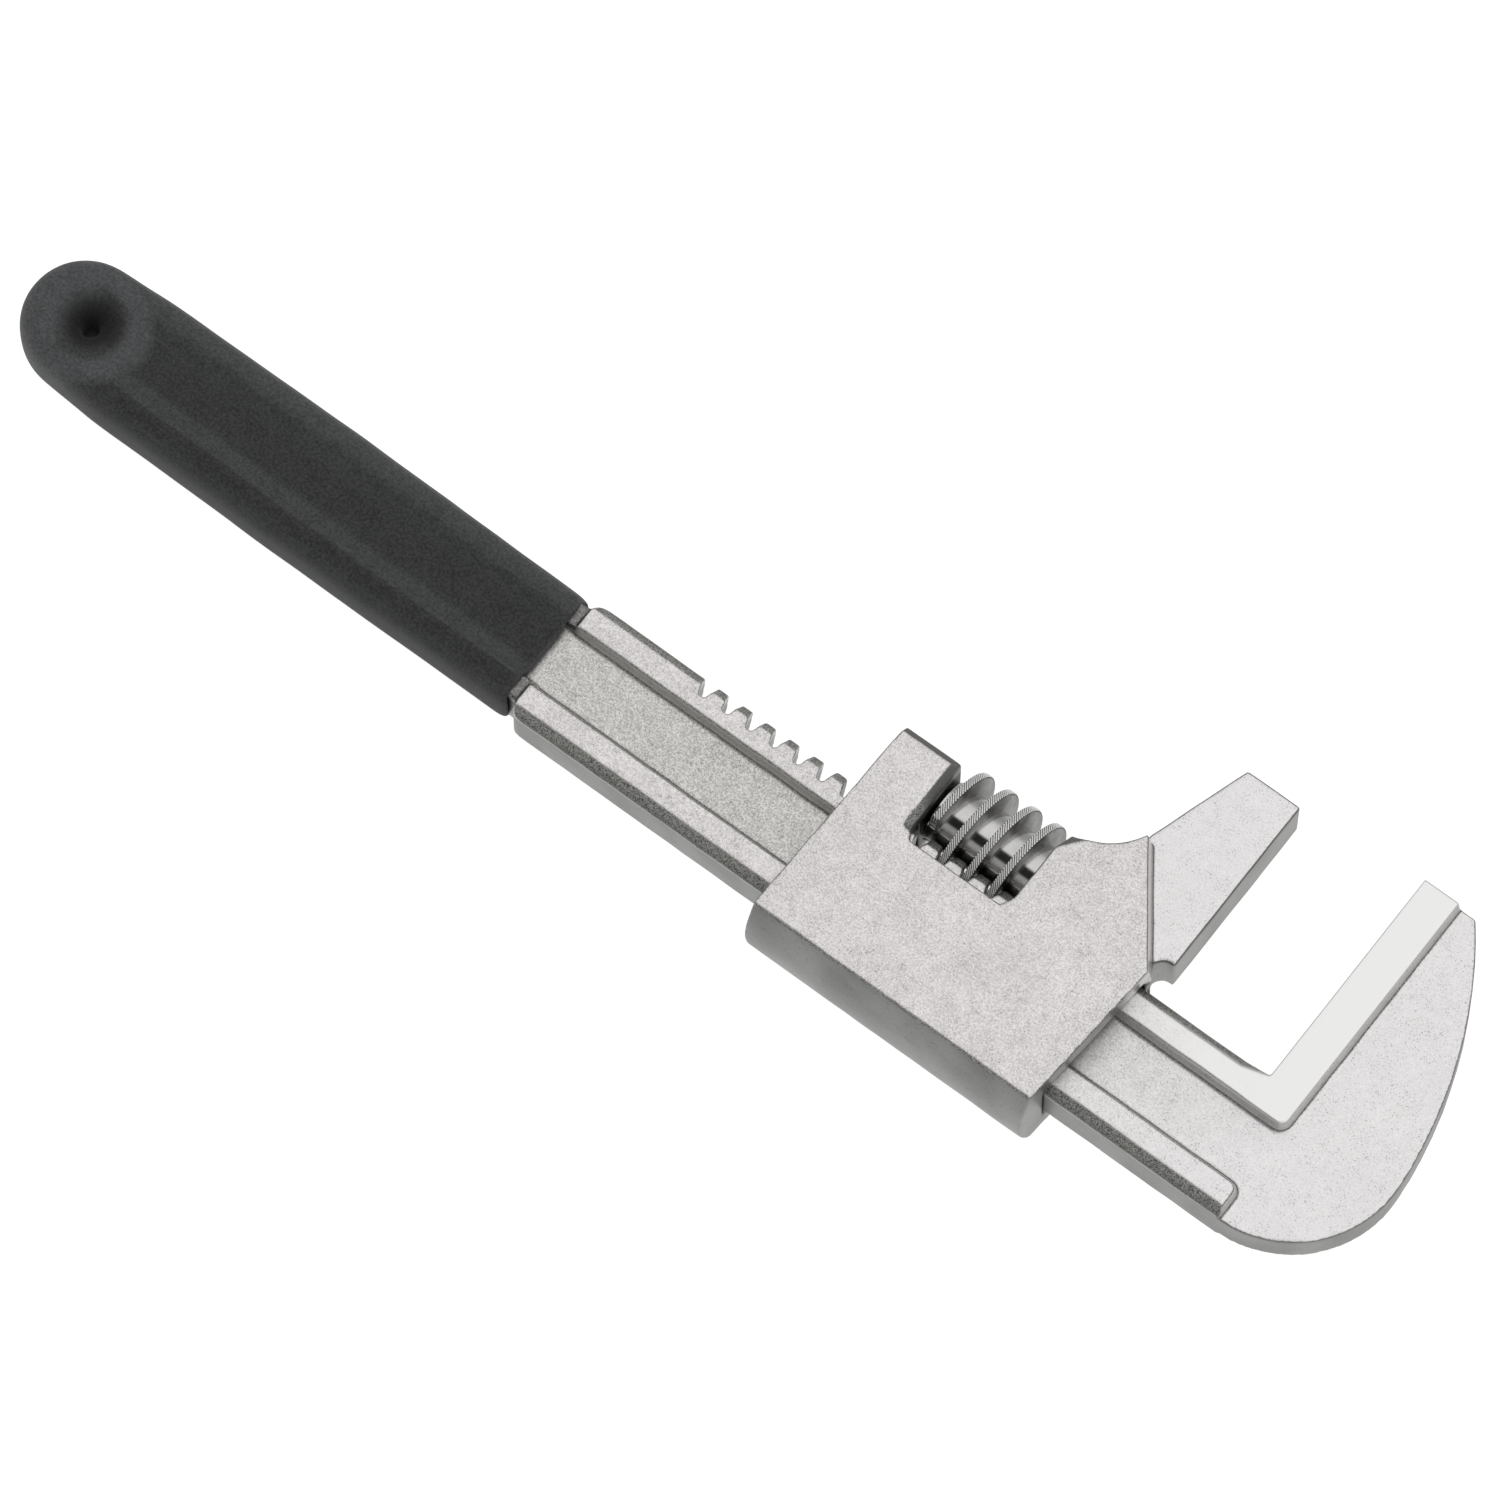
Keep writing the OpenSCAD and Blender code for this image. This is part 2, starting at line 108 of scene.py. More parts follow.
VIEW_AZIMUTH = math.radians(37.2)
VIEW_ELEVATION = math.radians(69)
VIEW_TARGET = Vector((135.1, 8, 0)) * MM
VIEW_WIDTH = 253 * MM
LENS, SENSOR = 300, 36


def add_camera():
    data = bpy.data.cameras.new("camera")
    data.lens = LENS
    data.sensor_width = SENSOR
    data.clip_start = 0.05
    data.clip_end = 60
    camera = bpy.data.objects.new("camera", data)
    bpy.context.scene.collection.objects.link(camera)
    back = Vector((
        math.sin(VIEW_AZIMUTH) * math.cos(VIEW_ELEVATION),
        -math.cos(VIEW_AZIMUTH) * math.cos(VIEW_ELEVATION),
        math.sin(VIEW_ELEVATION),
    ))
    camera.location = VIEW_TARGET + back * (VIEW_WIDTH * LENS / SENSOR)
    camera.rotation_mode = "QUATERNION"
    camera.rotation_quaternion = (-back).to_track_quat("-Z", "Y")
    bpy.context.scene.camera = camera


# ---- Node trees ----


class Graph:
    """Short calls that add nodes to one tree. An input is a number, a colour or another node's socket."""

    def __init__(self, tree):
        self.tree = tree
        tree.nodes.clear()

    def node(self, kind, inputs=None, **settings):
        made = self.tree.nodes.new("ShaderNode" + kind)
        for name, value in settings.items():
            setattr(made, name, value)
        for name, value in (inputs or {}).items():
            self.put(made.inputs[name], value)
        return made

    def put(self, socket, value):
        if isinstance(value, bpy.types.NodeSocket):
            self.tree.links.new(value, socket)
        elif socket.type == "RGBA":
            socket.default_value = (*value, 1)
        else:
            socket.default_value = value

    def math(self, operation, *values):
        return self.node("Math", dict(enumerate(values)), operation=operation).outputs[0]

    def product(self, first, *others):
        for other in others:
            first = self.math("MULTIPLY", first, other)
        return first

    def highest(self, first, *others):
        for other in others:
            first = self.math("MAXIMUM", first, other)
        return first

    def split(self, vector):
        """The vector's X, Y and Z outputs, by name."""
        return self.node("SeparateXYZ", {0: vector}).outputs

    def mixture(self, *parts):
        """Weighted sum of (socket, weight) pairs."""
        total = 0.0
        for socket, weight in parts:
            inputs = {0: socket, 1: weight, 2: total}
            total = self.node("Math", inputs, operation="MULTIPLY_ADD").outputs[0]
        return total

    def step(self, value, low, high):
        """Rises smoothly from 0 at `low` to 1 at `high`."""
        inputs = {"Value": value, "From Min": low, "From Max": high}
        return self.node("MapRange", inputs, interpolation_type="SMOOTHSTEP").outputs["Result"]

    def blend(self, share, a, b):
        """Colour a where share is 0, colour b where it is 1."""
        made = self.node("Mix", data_type="RGBA")
        self.put(made.inputs["Factor"], share)
        colours = [s for s in made.inputs if s.type == "RGBA"]
        self.put(colours[0], a)
        self.put(colours[1], b)
        return next(s for s in made.outputs if s.type == "RGBA")

    def lerp(self, share, a, b):
        """Number a where share is 0, number b where it is 1."""
        return self.node("MapRange", {"Value": share, "To Min": a, "To Max": b}).outputs["Result"]

    def noise(self, where, size, detail=2.0, roughness=0.5):
        """Noise from 0 to 1 whose grains are about `size` metres wide."""
        inputs = {"Vector": where, "Scale": 1 / size, "Detail": detail, "Roughness": roughness}
        return self.node("TexNoise", inputs).outputs["Fac"]

    def bump(self, height, distance, strength):
        inputs = {"Height": height, "Distance": distance, "Strength": strength}
        return self.node("Bump", inputs).outputs["Normal"]

    def finish(self, **inputs):
        named = {key.replace("_", " "): value for key, value in inputs.items()}
        shader = self.node("BsdfPrincipled", named)
        out = self.node("OutputMaterial")
        self.tree.links.new(shader.outputs[0], out.inputs["Surface"])


def new_material(name):
    material = bpy.data.materials.new(name)
    material.use_nodes = True
    return material, Graph(material.node_tree)


# ---- Materials ----

# Colours, dark to light where there are two.
FACE_DARK, FACE_LIGHT = (0.43, 0.412, 0.405), (0.92, 0.894, 0.887)
CALM_FACE = (0.86, 0.845, 0.85)
SCALE_DARK, SCALE_LIGHT = (0.09, 0.09, 0.083), (0.64, 0.64, 0.61)
STEP_SCALE_DARK, STEP_SCALE_LIGHT = (0.12, 0.12, 0.114), (0.40, 0.40, 0.38)
POST_SCALE = (0.22, 0.22, 0.212)
WALL_DARK, WALL_LIGHT = (0.33, 0.33, 0.317), (0.42, 0.42, 0.407)
STEP_WALL = (0.80, 0.795, 0.77)
WEB_DARK, WEB_LIGHT = (0.32, 0.315, 0.30), (0.84, 0.825, 0.80)
GROUND = (0.84, 0.835, 0.83)
# Near black: painted shade in the worm's window and serrations, and the dark band by the grip's end.
NEAR_BLACK = (0.035, 0.035, 0.033)
HUB_DARK, HUB_LIGHT = (0.40, 0.396, 0.388), (0.70, 0.695, 0.68)
FLANK_DARK, FLANK_LIGHT = (0.19, 0.19, 0.185), (0.38, 0.375, 0.365)
# Near-white crest: worn bright steel, with a painted glint.
CREST = (0.97, 0.965, 0.95)
PIN_DARK, PIN_LIGHT = (0.25, 0.25, 0.24), (0.46, 0.46, 0.45)
WIRE_DARK, WIRE_LIGHT = (0.24, 0.24, 0.26), (0.44, 0.44, 0.46)
VINYL_DARK, VINYL_LIGHT = (0.007, 0.0073, 0.0073), (0.056, 0.057, 0.057)
# Paler coating: worn by rubbing on the end and ring, painted sheen and light elsewhere.
RUBBED_AND_LIT_DARK, RUBBED_AND_LIT_LIGHT = (0.044, 0.0456, 0.047), (0.127, 0.130, 0.134)
# Painted shade in the hollow of the hanging hole.
HOLLOW_SHADE = (0.010, 0.010, 0.010)

# Grain sizes of the forgings' noises, from the finest to the slow changes of tone.
GRAIN, FLECK, MOTTLE, PATCH, CLOUD = 0.2 * MM, 0.28 * MM, 0.38 * MM, 2.6 * MM, 11 * MM
FORGED_BUMP = 0.05 * MM

# Bands over which a look comes in: where it is absent, then where it is full.
# By how upright the surface's normal is, and by the brightness of a noise.
FACE_LEAN, WALL_LEAN = (0.80, 0.95), (0.68, 0.46)
FINE_TONE, PEPPER_TONE, SPECKLE_TONE = (0.39, 0.61), (0.40, 0.31), (0.38, 0.60)
BROAD_TONE, NECK_BAND_TONE = (0.3, 0.7), (0.5, 0.7)
# By place on the bar.
BAR_WORN_X = JAW_X - 34 * MM, JAW_X + 12 * MM
BAR_STEP_Z = FLANGE_Z - 2.1 * MM, FLANGE_Z - 1.7 * MM
COARSE_X = JAW_X - 18 * MM, JAW_X - 66 * MM
WEB_X = JAW_X + 22 * MM, JAW_X - 4 * MM
WEB_Z = FLANGE_Z - 1.1 * MM, FLANGE_Z - 1.6 * MM
GROUND_Y = 0.0, 2 * MM
GROUND_Z = FLANGE_Z - 0.6 * MM, FLANGE_Z - 0.2 * MM
NECK_BAND_X = NECK_X + 1.2 * MM, NECK_X + 0.8 * MM
NECK_BAND_Z = FLANGE_Z - 1.8 * MM, FLANGE_Z - 1.4 * MM
# By place on the slider.
SLIDER_WORN_Z = cad_high.z - 1 * MM, cad_high.z - 3 * MM
JAW_SIDE_Y = 6 * MM, 10 * MM
SLIDER_STEP_Z = 5.0 * MM, 5.5 * MM
POST_Y = 13 * MM, 18 * MM
WINDOW_Z = cad_high.z - 0.5 * MM, cad_high.z - 5 * MM
WINDOW_MARGIN = 0.9 * MM, 0.5 * MM
# By place on both.
STEP_SCALE_Z = FLANGE_Z - 0.4 * MM, FLANGE_Z - 1.9 * MM


def forged_steel(name, bar=False):
    """Satin nickel over a shot-blasted forging. Flat faces are bright, slopes keep dark speckled scale,
    and walls are smoother and greyer. The bar's sunk web is coarser and its jaw is ground. The slider has
    painted shade: it darkens to near black towards the bottom of the worm's window."""
    material, g = new_material(name)
    coords = g.node("TexCoord")
    place = coords.outputs["Object"]
    spot = g.split(place)
    level = g.math("ABSOLUTE", spot["Z"])
    upright = g.math("ABSOLUTE", g.split(coords.outputs["Normal"])["Z"])

    mottle = g.noise(place, MOTTLE, 4, 0.65)
    grain = g.noise(place, GRAIN, 3, 0.6)
    patch = g.noise(place, PATCH, 4, 0.6)
    cloud = g.noise(place, CLOUD, 2, 0.5)
    flecks = g.noise(place, FLECK, 2, 0.6)
    pepper = g.step(g.mixture((flecks, 1.0), (patch, 0.22), (1.0, -0.11)), *PEPPER_TONE)
    fine = g.step(g.mixture((mottle, 0.55), (grain, 0.45)), *FINE_TONE)

    # Where the surface is a face, a slope or a wall, by how far it leans, with ragged borders.
    ragged = g.mixture((upright, 1.0), (mottle, 0.16), (patch, 0.08), (1.0, -0.12))
    face = g.step(ragged, *FACE_LEAN)
    wall = g.step(ragged, *WALL_LEAN)

    tone = g.mixture((fine, 0.58), (patch, 0.34), (cloud, 0.34), (1.0, -0.08))
    colour = g.blend(tone, FACE_DARK, FACE_LIGHT)
    rough = g.lerp(grain, 0.32, 0.46)
    height = g.mixture((mottle, 0.5), (grain, 0.6))
    reach = g.mixture((spot["X"], 1.0), (patch, 10 * MM), (cloud, 10 * MM))
    if bar:
        worn = g.step(reach, *BAR_WORN_X)
        step_wall = g.step(level, *BAR_STEP_Z)
    else:
        worn = g.step(level, *SLIDER_WORN_Z)
        jaw_side = g.step(spot["Y"], *JAW_SIDE_Y)
        step_wall = g.product(jaw_side, g.step(level, *SLIDER_STEP_Z))
    colour = g.blend(g.product(worn, 0.6), colour, CALM_FACE)

    speckle = g.step(g.mixture((grain, 0.6), (mottle, 0.4)), *SPECKLE_TONE)
    scale = g.blend(speckle, SCALE_DARK, SCALE_LIGHT)
    step_scale = g.blend(speckle, STEP_SCALE_DARK, STEP_SCALE_LIGHT)
    scale = g.blend(g.step(level, *STEP_SCALE_Z), scale, step_scale)
    if bar:
        coarse = g.lerp(g.step(reach, *COARSE_X), 0.12, 1.0)
        sunk = g.product(g.step(level, *WEB_Z), coarse, g.step(reach, *WEB_X))
        web = g.blend(g.mixture((fine, 0.7), (patch, 0.3)), WEB_DARK, WEB_LIGHT)
        colour = g.blend(sunk, colour, web)
        ground = g.product(g.step(spot["Y"], *GROUND_Y), g.step(level, *GROUND_Z), worn)
        colour = g.blend(ground, colour, GROUND)
        pepper = g.product(pepper, g.mixture((ground, -1.0), (1.0, 1.0)))
        rough = g.lerp(ground, rough, 0.36)
        face = g.highest(face, ground)
        height = g.product(height, g.mixture((ground, -0.92), (sunk, 0.6), (1.0, 1.0)))
    else:
        scale = g.blend(g.step(spot["Y"], *POST_Y), scale, POST_SCALE)

    wall_colour = g.blend(g.step(cloud, *BROAD_TONE), WALL_DARK, WALL_LIGHT)
    edge = g.blend(wall, scale, g.blend(step_wall, wall_colour, STEP_WALL))
    colour = g.blend(face, edge, colour)
    colour = g.blend(g.product(pepper, 0.55), colour, SCALE_DARK)
    if bar:
        # A dark band on the bar's upper faces just beyond the grip's end.
        neck = g.product(g.step(spot["X"], *NECK_BAND_X), g.step(level, *NECK_BAND_Z))
        neck_band_colour = g.blend(g.step(mottle, *NECK_BAND_TONE), NEAR_BLACK, WALL_DARK)
        colour = g.blend(g.product(neck, 0.75), colour, neck_band_colour)
    else:
        worm_low, worm_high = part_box("adjusting_worm")
        # Painted shade: towards the bottom of the worm's window the slider darkens to near black.
        window_shade = g.product(
            g.step(spot["X"], *(worm_low.x - margin for margin in WINDOW_MARGIN)),
            g.step(spot["X"], *(worm_high.x + margin for margin in WINDOW_MARGIN)),
            g.step(level, *WINDOW_Z),
            jaw_side,
        )
        colour = g.blend(g.product(window_shade, 0.92), colour, NEAR_BLACK)
    g.finish(
        Base_Color=colour,
        Metallic=1.0,
        Roughness=g.lerp(face, g.lerp(wall, 0.5, 0.36), rough),
        Normal=g.bump(height, FORGED_BUMP, 0.7),
    )
    return material


# Bands of the worm's looks, by distance from its axis and by how much the surface faces along it.
FLANK_LEAN = 0.6, 0.92
CREST_TOP = CREST_R - 0.24 * MM, CREST_R - 0.18 * MM
GROOVE_SHADE_ABOVE = CREST_R - 0.40 * MM, CREST_R - 0.28 * MM
GROOVE_SHADE_BELOW = CREST_R - 0.12 * MM, CREST_R - 0.17 * MM
TURNED_MARKS, SMUDGE = 0.08 * MM, 2.4 * MM
TURNED_BUMP = 0.003 * MM


def polished_steel(name):
    """Turned steel: fine rings round the worm's axis, duller flanks, and worn bright crests, painted near-white
    and half diffuse as a glint. The serrations' grooves and the crests' bevels are painted dark as shade."""
    material, g = new_material(name)
    coords = g.node("TexCoord")
    place = coords.outputs["Object"]
    flank = g.step(g.math("ABSOLUTE", g.split(coords.outputs["Normal"])["X"]), *FLANK_LEAN)
    to_axis = (0, -WORM_AXIS.y, -WORM_AXIS.z)
    spot = g.split(g.node("Mapping", {"Vector": place, "Location": to_axis}).outputs[0])
    across = g.node("CombineXYZ", {"X": 0.0, "Y": spot["Y"], "Z": spot["Z"]}).outputs[0]
    radius = g.node("VectorMath", {0: across}, operation="LENGTH").outputs["Value"]
    rings = g.node("CombineXYZ", {"X": spot["X"], "Y": radius}).outputs[0]
    turned_marks = g.noise(rings, TURNED_MARKS, 3, 0.6)
    smudge = g.noise(place, SMUDGE, 3, 0.55)
    # Painted shade: the serrations' grooves and the crests' bevels are dark.
    groove_shade = g.product(g.step(radius, *GROOVE_SHADE_BELOW), g.step(radius, *GROOVE_SHADE_ABOVE))
    crest = g.step(radius, *CREST_TOP)
    colour = g.blend(smudge, HUB_DARK, HUB_LIGHT)
    # Worn bright crests, painted near-white and made half diffuse below: partly a painted glint.
    colour = g.blend(crest, colour, CREST)
    colour = g.blend(flank, colour, g.blend(g.step(smudge, *BROAD_TONE), FLANK_DARK, FLANK_LIGHT))
    g.finish(
        Base_Color=g.blend(g.product(groove_shade, 0.92), colour, NEAR_BLACK),
        Metallic=g.lerp(crest, 1.0, 0.45),
        Roughness=g.mixture((smudge, 0.10), (crest, 0.26), (flank, 0.14), (1.0, 0.09)),
        Normal=g.bump(turned_marks, TURNED_BUMP, 0.5),
    )
    return material


OILED_GRAIN, OILED_BUMP = 0.5 * MM, 0.01 * MM


def oiled_steel(name, dark, light):
    """Drawn or turned steel under a film of oil, from `dark` to `light` in a fine grain."""
    material, g = new_material(name)
    grain = g.noise(g.node("TexCoord").outputs["Object"], OILED_GRAIN, 4, 0.6)
    g.finish(
        Base_Color=g.blend(grain, dark, light),
        Metallic=1.0,
        Roughness=g.lerp(grain, 0.26, 0.42),
        Normal=g.bump(grain, OILED_BUMP, 0.5),
    )
    return material


# Bands of the grip's looks: by place, by distance from the hanging hole, and by the surface's normal.
END_X = 2 * MM, -5 * MM
SHOULDER_Y = 2.5 * MM, 10 * MM
BEYOND_END_X = 0.0, 12 * MM
RING_INSIDE, RING_OUTSIDE = (5 * MM, 8 * MM), (12.5 * MM, 9.5 * MM)
HOLLOW_R = 7.5 * MM, 2.2 * MM
SIDE_LEAN, SIDE_FACING = (0.97, 0.62), (-0.3, 0.3)
SLOPE_FACING, UNDER_FACING = (0.0, 0.16), (-0.5, -0.95)
MOTTLE_TONE = 0.34, 0.66
VINYL_MOTTLE, VINYL_PATCH = 0.5 * MM, 3.5 * MM
VINYL_BUMP = 0.05 * MM


def dipped_vinyl(name):
    """Matt charcoal dip coating with a fine mottle. It is worn paler on its end and on the ring round the
    hanging hole. Painted light: its rounded sides are painted paler as sheen, most where they face +Y, as are
    slopes facing +Y and the part towards +Y. Painted shade darkens faces turned to -Y and the hole's hollow."""
    material, g = new_material(name)
    coords = g.node("TexCoord")
    place = coords.outputs["Object"]
    spot = g.split(place)
    facing = g.split(coords.outputs["Normal"])
    upright = g.math("ABSOLUTE", facing["Z"])
    flat = g.node("CombineXYZ", {"X": spot["X"], "Y": spot["Y"]}).outputs[0]
    radius = g.node("VectorMath", {0: flat}, operation="LENGTH").outputs["Value"]
    mottle = g.noise(place, VINYL_MOTTLE, 4, 0.65)
    patch = g.noise(place, VINYL_PATCH, 3, 0.55)
    tone = g.mixture((g.step(mottle, *MOTTLE_TONE), 0.6), (patch, 0.4))
    colour = g.blend(tone, VINYL_DARK, VINYL_LIGHT)

    end = g.step(spot["X"], *END_X)
    ring = g.product(g.step(radius, *RING_INSIDE), g.step(radius, *RING_OUTSIDE))
    # Painted sheen and light: the rounded sides are paler, most where they face +Y.
    sides = g.product(
        g.step(g.mixture((upright, 1.0), (patch, 0.1), (1.0, -0.05)), *SIDE_LEAN),
        g.lerp(g.step(facing["Y"], *SIDE_FACING), 0.45, 1.0),
    )
    # Painted light: slopes facing +Y and the part towards +Y are paler.
    slope = g.product(g.step(facing["Y"], *SLOPE_FACING), 0.45)
    shoulder = g.product(g.step(spot["Y"], *SHOULDER_Y), 0.62)
    # Worn paler by rubbing on the end and ring; the rest of this is painted sheen and light.
    rubbed_and_lit = g.product(g.highest(end, ring, sides, slope, shoulder), 0.85)
    colour = g.blend(rubbed_and_lit, colour, g.blend(tone, RUBBED_AND_LIT_DARK, RUBBED_AND_LIT_LIGHT))
    # Painted shade: faces turned to -Y, past the end, are darker.
    under = g.product(g.step(facing["Y"], *UNDER_FACING), g.step(spot["X"], *BEYOND_END_X))
    colour = g.blend(g.product(under, 0.35), colour, VINYL_DARK)
    # Painted shade: the hollow of the hanging hole goes near black and fully rough.
    hollow = g.step(radius, *HOLLOW_R)
    colour = g.blend(g.product(hollow, 0.9), colour, HOLLOW_SHADE)
    g.finish(
        Base_Color=colour,
        Roughness=g.lerp(hollow, g.lerp(mottle, 0.58, 0.72), 1.0),
        Specular_IOR_Level=0.3,
        Sheen_Weight=0.06,
        Sheen_Roughness=0.5,
        Normal=g.bump(g.mixture((mottle, 1.0), (patch, 2.0)), VINYL_BUMP, 0.6),
    )
    return material


# ---- Mesh work ----


def add_object(name, mesh):
    obj = bpy.data.objects.new(name, mesh)
    bpy.context.scene.collection.objects.link(obj)
    return obj


def apply_modifiers(obj):
    """Bakes an object's modifiers into its mesh."""
    graph = bpy.context.evaluated_depsgraph_get()
    made = bpy.data.meshes.new_from_object(obj.evaluated_get(graph))
    old = obj.data
    obj.modifiers.clear()
    obj.data = made
    bpy.data.meshes.remove(old)


def points_of(mesh):
    found = np.empty(len(mesh.vertices) * 3)
    mesh.vertices.foreach_get("co", found)
    return found.reshape(-1, 3)


def ease(mesh, rounds, strength=None):
    """Moves each point part of the way to the middle of its neighbours, which rounds the edges.
    `strength` gives each point's share of that, from 0 to 1."""
    co = points_of(mesh)
    share = 0.5 * (strength(co)[:, None] if strength else 1.0)
    ends = np.empty(len(mesh.edges) * 2, dtype=np.int64)
    mesh.edges.foreach_get("vertices", ends)
    one, two = ends[0::2], ends[1::2]
    count = np.bincount(ends, minlength=len(co))[:, None]
    for _ in range(rounds):
        total = np.empty_like(co)
        for axis in range(3):
            total[:, axis] = np.bincount(one, co[two, axis], len(co))
            total[:, axis] += np.bincount(two, co[one, axis], len(co))
        co += share * (total / count - co)
    mesh.vertices.foreach_set("co", co.ravel())
    mesh.update()


def roughen(mesh, size, amount, strength=None):
    """Shifts every point by a smooth noise with swells of `size`, by up to `amount`."""
    co = points_of(mesh)
    shift = np.array([noise.noise_vector(Vector(p) / size) for p in co])
    if strength:
        shift *= strength(co)[:, None]
    mesh.vertices.foreach_set("co", (co + shift * amount).ravel())
    mesh.update()


def thin_out(obj, triangles):
    """Joins triangles where the surface is flat, until about this many are left."""
    obj.data.calc_loop_triangles()
    have = len(obj.data.loop_triangles)
    if have > triangles:
        modifier = obj.modifiers.new("thin", "DECIMATE")
        modifier.ratio = triangles / have
        apply_modifiers(obj)


def shade_smooth(obj):
    obj.data.polygons.foreach_set("use_smooth", [True] * len(obj.data.polygons))


def finished_copy(node, name, voxel, rounds, triangles, swell, swell_size=5 * MM, strength=None):
    """A copy of a CAD node with an even fine mesh, eased edges and a slight unevenness."""
    obj = add_object(name, frame["nodes"][node].data.copy())
    obj.data.materials.clear()
    remesh = obj.modifiers.new("remesh", "REMESH")
    remesh.mode = "VOXEL"
    remesh.voxel_size = voxel * 1
    apply_modifiers(obj)
    ease(obj.data, rounds, strength)
    roughen(obj.data, swell_size, swell, strength)
    thin_out(obj, triangles)
    shade_smooth(obj)
    return obj


def mesh_from(name, points, faces):
    mesh = bpy.data.meshes.new(name)
    mesh.from_pydata([tuple(p) for p in points], [], faces)
    mesh.validate()
    mesh.update()
    return mesh


def swept(name, rings):
    """Closed solid through rings of equally many points. A ring runs clockwise when seen along the sweep."""
    rings = np.asarray(rings)
    count, sides = rings.shape[:2]
    faces = []
    for i in range(count - 1):
        for j in range(sides):
            k = (j + 1) % sides
            faces.append((i * sides + j, (i + 1) * sides + j, (i + 1) * sides + k, i * sides + k))
    faces.append(list(range(sides)))
    faces.append([(count - 1) * sides + j for j in reversed(range(sides))])
    return mesh_from(name, rings.reshape(-1, 3), faces)


def turned(name, profile, segments):
    """Closed solid of revolution round X. The profile is a closed run of (x, radius) points."""
    sides = len(profile)
    points = []
    for i in range(segments):
        angle = 2 * math.pi * i / segments
        points += [(x, r * math.cos(angle), r * math.sin(angle)) for x, r in profile]
    faces = []
    for i in range(segments):
        a, b = i * sides, (i + 1) % segments * sides
        for j in range(sides):
            k = (j + 1) % sides
            faces.append((a + j, b + j, b + k, a + k))
    return mesh_from(name, points, faces)


def mesh_box(low, high):
    sides = list(zip(low, high))
    corners = [(x, y, z) for x in sides[0] for y in sides[1] for z in sides[2]]
    faces = [(0, 1, 3, 2), (4, 6, 7, 5), (0, 4, 5, 1), (2, 3, 7, 6), (0, 2, 6, 4), (1, 5, 7, 3)]
    return mesh_from("box", corners, faces)


def combine(obj, other, operation):
    """Joins another closed mesh to the object or cuts it out, and removes the other object."""
    modifier = obj.modifiers.new("combine", "BOOLEAN")
    modifier.operation = operation
    modifier.solver = "MANIFOLD"
    modifier.object = other
    apply_modifiers(obj)
    bpy.data.objects.remove(other)


def sharpen(obj, degrees):
    """Smooth shading, with creases left sharp where faces meet at more than this angle."""
    shade_smooth(obj)
    obj.data.set_sharp_from_angle(angle=math.radians(degrees))


# ---- Pieces ----


def settle(obj, body, material, slot, *nodes):
    """Gives a finished piece its material and body, and hides the CAD nodes that it replaces; `slot` is not used.
    """
    obj.data.materials.clear()
    obj.data.materials.append(material)
    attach(obj, body)
    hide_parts(*nodes)


GROUND_DEPTH = 0.9 * MM
ROOT_BAND = 0.8 * MM
CRISP_SHARE = 0.1


def forging_edges(co):
    """Edges are rounded all over, apart from the ground fixed jaw's and those at the roots of the rack,
    which stay nearly sharp so that the worm's crests clear them."""
    x, y, z = co.T
    ground = (x > JAW_X - 1 * MM) & (np.abs(z) > FLANGE_Z - GROUND_DEPTH) & (y > 0)
    roots = (x < JAW_X) & (np.abs(y - WORM_AXIS.y + CREST_R) < ROOT_BAND)
    return np.where(ground | roots, CRISP_SHARE, 1.0)


FORGING_VOXEL, FORGING_ROUNDS = 0.3 * MM, 4
GRIP_VOXEL, GRIP_ROUNDS, GRIP_SWELL_SIZE = 0.5 * MM, 34, 9 * MM
BAR_TRIANGLES, SLIDER_TRIANGLES, GRIP_TRIANGLES = 190000, 160000, 150000
BAR_SWELL, SLIDER_SWELL, GRIP_SWELL = 0.07 * MM, 0.06 * MM, 0.08 * MM


def make_forgings():
    bar = finished_copy(
        "fixed_jaw_bar", "bar_and_fixed_jaw", FORGING_VOXEL, FORGING_ROUNDS, BAR_TRIANGLES, BAR_SWELL,
        strength=forging_edges)
    settle(bar, "bar", forged_steel("bar_steel", bar=True), "forged_steel", "fixed_jaw_bar")
    slider = finished_copy(
        "sliding_jaw", "slider_and_movable_jaw", FORGING_VOXEL, FORGING_ROUNDS, SLIDER_TRIANGLES,
        SLIDER_SWELL)
    settle(slider, "slider", forged_steel("slider_steel"), "forged_steel", "sliding_jaw")


def make_grip():
    grip = finished_copy(
        "grip", "grip_coating", GRIP_VOXEL, GRIP_ROUNDS, GRIP_TRIANGLES, GRIP_SWELL, GRIP_SWELL_SIZE)
    settle(grip, "bar", dipped_vinyl("charcoal_vinyl"), "dipped_vinyl", "grip")


def serration(turns, across):
    """Depth of the serrations on the crest, from 0 to 1. They slant across it."""
    phase = (turns + across * math.tan(SERRATION_SLANT) / (2 * math.pi * CREST_R)) * SERRATIONS % 1
    return 0.5 - 0.5 * math.cos(2 * math.pi * phase)


def worm_phase():
    """Angle of the thread at x = 0, from the crest of the CAD worm."""
    co = points_of(frame["nodes"]["adjusting_worm"].data)
    y, z = WORM_AXIS.y - co[:, 1], co[:, 2] - WORM_AXIS.z
    crest = np.hypot(y, z) > 0.985 * CREST_R
    lag = np.arctan2(z[crest], y[crest]) - 2 * math.pi * co[crest, 0] / PITCH
    return math.atan2(np.sin(lag).mean(), np.cos(lag).mean())


